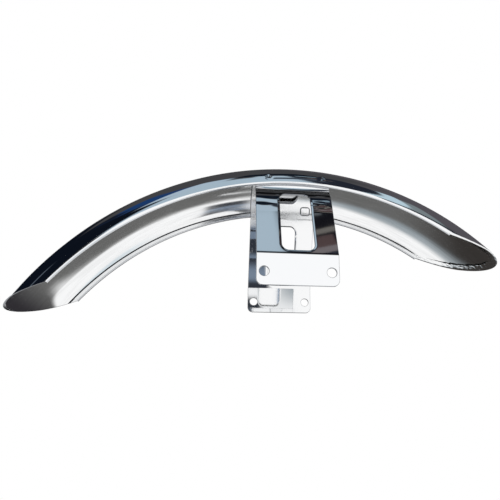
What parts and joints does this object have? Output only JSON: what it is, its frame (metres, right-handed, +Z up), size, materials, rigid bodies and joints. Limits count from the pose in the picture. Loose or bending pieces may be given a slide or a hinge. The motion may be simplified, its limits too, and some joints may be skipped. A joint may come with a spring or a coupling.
{
  "type": "motorcycle front mudguard",
  "caption": "Half-round curved mudguard with hemmed long edges and slanting rounded ends, carried on a folded fork bracket whose windowed legs end in upright drilled tabs.",
  "frame": {"origin": "on the middle plane, half-way along the mudguard and level with its lowest point, the tip of the long end", "axes": "+X along the mudguard to its short end, +Y across the wheel, +Z up; the bolt holes of each tab lie along X and the wheel axle is parallel to Y"},
  "size_m": [0.5352, 0.16, 0.1657],
  "materials": {
    "blade_chrome": "mirror chrome outside, duller satin chrome inside",
    "bracket_chrome": "mirror chrome"
  },
  "bodies": {
    "root": {"mudguard_blade": "blade_chrome", "fork_bracket": "bracket_chrome"}
  },
  "joints": []
}
